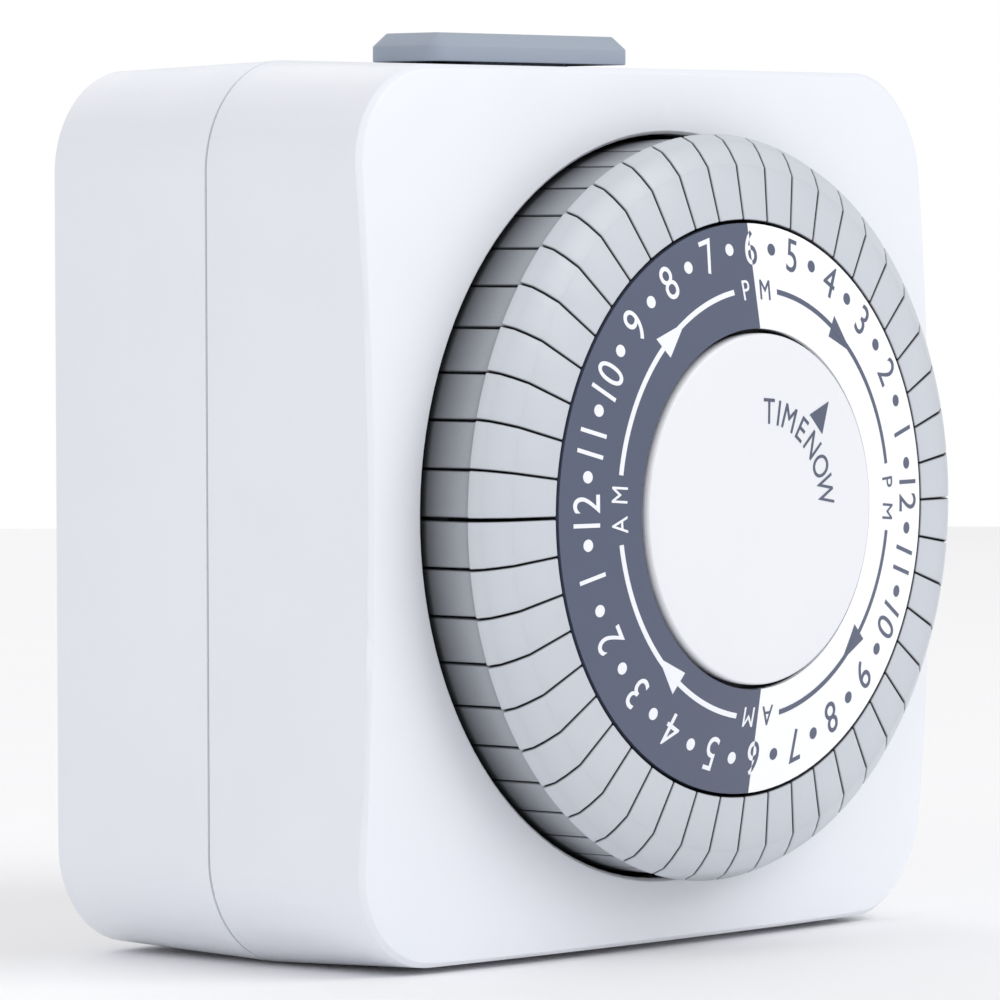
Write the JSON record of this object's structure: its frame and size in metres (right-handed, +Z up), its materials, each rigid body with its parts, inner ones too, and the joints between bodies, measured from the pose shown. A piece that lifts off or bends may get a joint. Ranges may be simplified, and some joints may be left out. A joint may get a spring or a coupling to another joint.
{
  "type": "plug-in timer switch",
  "caption": "Plug-in mechanical timer switch: square housing, 24-hour dial ringed by push-in tabs, override slider on top, plug at the back and outlet in the side.",
  "frame": {"origin": "centre of the flat back face, which lies against the wall plate", "axes": "+Y runs back into the wall, +Z is up, +X is to the right seen from the front"},
  "size_m": [0.074, 0.0671, 0.0765],
  "materials": {
    "housing_plastic": "satin, light grey white",
    "tab_plastic": "satin, light grey",
    "drum_plastic": "satin, grey",
    "disc_print": "printed, satin",
    "cap_plastic": "satin, white",
    "slider_plastic": "spark-eroded, bluish grey",
    "outlet_plastic": "satin",
    "gear_plastic": "natural",
    "switch_plastic": "black",
    "plunger_plastic": "red",
    "zinc_steel": "zinc plated",
    "contact_brass": "bright",
    "wire_cover": "smooth"
  },
  "bodies": {
    "housing": {"front_housing": "housing_plastic", "rear_housing": "housing_plastic", "housing_screws": "zinc_steel", "movement_plate": "gear_plastic", "plate_screws": "zinc_steel", "dial_spindle": "zinc_steel", "spindle_washer": "zinc_steel", "centre_cap": "cap_plastic", "gear_axle": "zinc_steel", "motor_can": "zinc_steel", "motor_screws": "zinc_steel", "lever_pin": "zinc_steel", "microswitch_case": "switch_plastic", "switch_terminals": "contact_brass", "outlet_face": "outlet_plastic", "neutral_contact": "contact_brass", "line_contact": "contact_brass", "ground_contact": "contact_brass", "neutral_blade": "contact_brass", "line_blade": "contact_brass", "ground_pin": "contact_brass", "neutral_strap": "contact_brass", "ground_strap": "contact_brass", "line_strap": "contact_brass", "load_strap": "contact_brass", "motor_leads": "wire_cover"},
    "dial": {"dial_drum": "drum_plastic", "hour_disc": "disc_print"},
    "train_gear": {"compound_gear": "gear_plastic"},
    "motor_output": {"motor_pinion": "gear_plastic"},
    "slider": {"override_slider": "slider_plastic"},
    "lever": {"switch_lever": "gear_plastic"},
    "plunger": {"switch_plunger": "plunger_plastic"},
    "tab_pair_00": {"tabs_hour_00": "tab_plastic"},
    "tab_pair_01": {"tabs_hour_01": "tab_plastic"},
    "tab_pair_02": {"tabs_hour_02": "tab_plastic"},
    "tab_pair_03": {"tabs_hour_03": "tab_plastic"},
    "tab_pair_04": {"tabs_hour_04": "tab_plastic"},
    "tab_pair_05": {"tabs_hour_05": "tab_plastic"},
    "tab_pair_06": {"tabs_hour_06": "tab_plastic"},
    "tab_pair_07": {"tabs_hour_07": "tab_plastic"},
    "tab_pair_08": {"tabs_hour_08": "tab_plastic"},
    "tab_pair_09": {"tabs_hour_09": "tab_plastic"},
    "tab_pair_10": {"tabs_hour_10": "tab_plastic"},
    "tab_pair_11": {"tabs_hour_11": "tab_plastic"},
    "tab_pair_12": {"tabs_hour_12": "tab_plastic"},
    "tab_pair_13": {"tabs_hour_13": "tab_plastic"},
    "tab_pair_14": {"tabs_hour_14": "tab_plastic"},
    "tab_pair_15": {"tabs_hour_15": "tab_plastic"},
    "tab_pair_16": {"tabs_hour_16": "tab_plastic"},
    "tab_pair_17": {"tabs_hour_17": "tab_plastic"},
    "tab_pair_18": {"tabs_hour_18": "tab_plastic"},
    "tab_pair_19": {"tabs_hour_19": "tab_plastic"},
    "tab_pair_20": {"tabs_hour_20": "tab_plastic"},
    "tab_pair_21": {"tabs_hour_21": "tab_plastic"},
    "tab_pair_22": {"tabs_hour_22": "tab_plastic"},
    "tab_pair_23": {"tabs_hour_23": "tab_plastic"}
  },
  "joints": [
    {"name": "dial_turn", "type": "hinge", "parent": "housing", "child": "dial", "pos_m": [0, -0.036, 0], "axis": [0, 1, 0], "continuous": true},
    {"name": "train_gear_turn", "type": "hinge", "parent": "housing", "child": "train_gear", "pos_m": [-0.02068, -0.027, -0.02068], "axis": [0, 1, 0], "continuous": true},
    {"name": "motor_turn", "type": "hinge", "parent": "housing", "child": "motor_output", "pos_m": [-0.01184, -0.027, -0.01184], "axis": [0, 1, 0], "continuous": true},
    {"name": "slider_slide", "type": "slide", "parent": "housing", "child": "slider", "axis": [1, 0, 0], "range_m": [-0.005, 0]},
    {"name": "lever_turn", "type": "hinge", "parent": "housing", "child": "lever", "pos_m": [0.0165, -0.02075, 0.031], "axis": [0, 1, 0], "range_deg": [0, 6.44]},
    {"name": "plunger_rise", "type": "slide", "parent": "housing", "child": "plunger", "axis": [0, 0, 1], "range_m": [0, 0.00075]},
    {"name": "tab_pair_00_push", "type": "slide", "parent": "dial", "child": "tab_pair_00", "axis": [0, 1, 0], "range_m": [0, 0.0035]},
    {"name": "tab_pair_01_push", "type": "slide", "parent": "dial", "child": "tab_pair_01", "axis": [0, 1, 0], "range_m": [0, 0.0035]},
    {"name": "tab_pair_02_push", "type": "slide", "parent": "dial", "child": "tab_pair_02", "axis": [0, 1, 0], "range_m": [0, 0.0035]},
    {"name": "tab_pair_03_push", "type": "slide", "parent": "dial", "child": "tab_pair_03", "axis": [0, 1, 0], "range_m": [0, 0.0035]},
    {"name": "tab_pair_04_push", "type": "slide", "parent": "dial", "child": "tab_pair_04", "axis": [0, 1, 0], "range_m": [0, 0.0035]},
    {"name": "tab_pair_05_push", "type": "slide", "parent": "dial", "child": "tab_pair_05", "axis": [0, 1, 0], "range_m": [0, 0.0035]},
    {"name": "tab_pair_06_push", "type": "slide", "parent": "dial", "child": "tab_pair_06", "axis": [0, 1, 0], "range_m": [0, 0.0035]},
    {"name": "tab_pair_07_push", "type": "slide", "parent": "dial", "child": "tab_pair_07", "axis": [0, 1, 0], "range_m": [0, 0.0035]},
    {"name": "tab_pair_08_push", "type": "slide", "parent": "dial", "child": "tab_pair_08", "axis": [0, 1, 0], "range_m": [0, 0.0035]},
    {"name": "tab_pair_09_push", "type": "slide", "parent": "dial", "child": "tab_pair_09", "axis": [0, 1, 0], "range_m": [0, 0.0035]},
    {"name": "tab_pair_10_push", "type": "slide", "parent": "dial", "child": "tab_pair_10", "axis": [0, 1, 0], "range_m": [0, 0.0035]},
    {"name": "tab_pair_11_push", "type": "slide", "parent": "dial", "child": "tab_pair_11", "axis": [0, 1, 0], "range_m": [0, 0.0035]},
    {"name": "tab_pair_12_push", "type": "slide", "parent": "dial", "child": "tab_pair_12", "axis": [0, 1, 0], "range_m": [0, 0.0035]},
    {"name": "tab_pair_13_push", "type": "slide", "parent": "dial", "child": "tab_pair_13", "axis": [0, 1, 0], "range_m": [0, 0.0035]},
    {"name": "tab_pair_14_push", "type": "slide", "parent": "dial", "child": "tab_pair_14", "axis": [0, 1, 0], "range_m": [0, 0.0035]},
    {"name": "tab_pair_15_push", "type": "slide", "parent": "dial", "child": "tab_pair_15", "axis": [0, 1, 0], "range_m": [0, 0.0035]},
    {"name": "tab_pair_16_push", "type": "slide", "parent": "dial", "child": "tab_pair_16", "axis": [0, 1, 0], "range_m": [0, 0.0035]},
    {"name": "tab_pair_17_push", "type": "slide", "parent": "dial", "child": "tab_pair_17", "axis": [0, 1, 0], "range_m": [0, 0.0035]},
    {"name": "tab_pair_18_push", "type": "slide", "parent": "dial", "child": "tab_pair_18", "axis": [0, 1, 0], "range_m": [0, 0.0035]},
    {"name": "tab_pair_19_push", "type": "slide", "parent": "dial", "child": "tab_pair_19", "axis": [0, 1, 0], "range_m": [0, 0.0035]},
    {"name": "tab_pair_20_push", "type": "slide", "parent": "dial", "child": "tab_pair_20", "axis": [0, 1, 0], "range_m": [0, 0.0035]},
    {"name": "tab_pair_21_push", "type": "slide", "parent": "dial", "child": "tab_pair_21", "axis": [0, 1, 0], "range_m": [0, 0.0035]},
    {"name": "tab_pair_22_push", "type": "slide", "parent": "dial", "child": "tab_pair_22", "axis": [0, 1, 0], "range_m": [0, 0.0035]},
    {"name": "tab_pair_23_push", "type": "slide", "parent": "dial", "child": "tab_pair_23", "axis": [0, 1, 0], "range_m": [0, 0.0035]}
  ],
  "couplings": [
    {"joint": "train_gear_turn", "follows": "dial_turn", "ratio": -12},
    {"joint": "motor_turn", "follows": "dial_turn", "ratio": 48},
    {"joint": "lever_turn", "follows": "slider_slide", "rad_per_m": -22.433},
    {"joint": "plunger_rise", "follows": "slider_slide", "ratio": -0.14806}
  ]
}
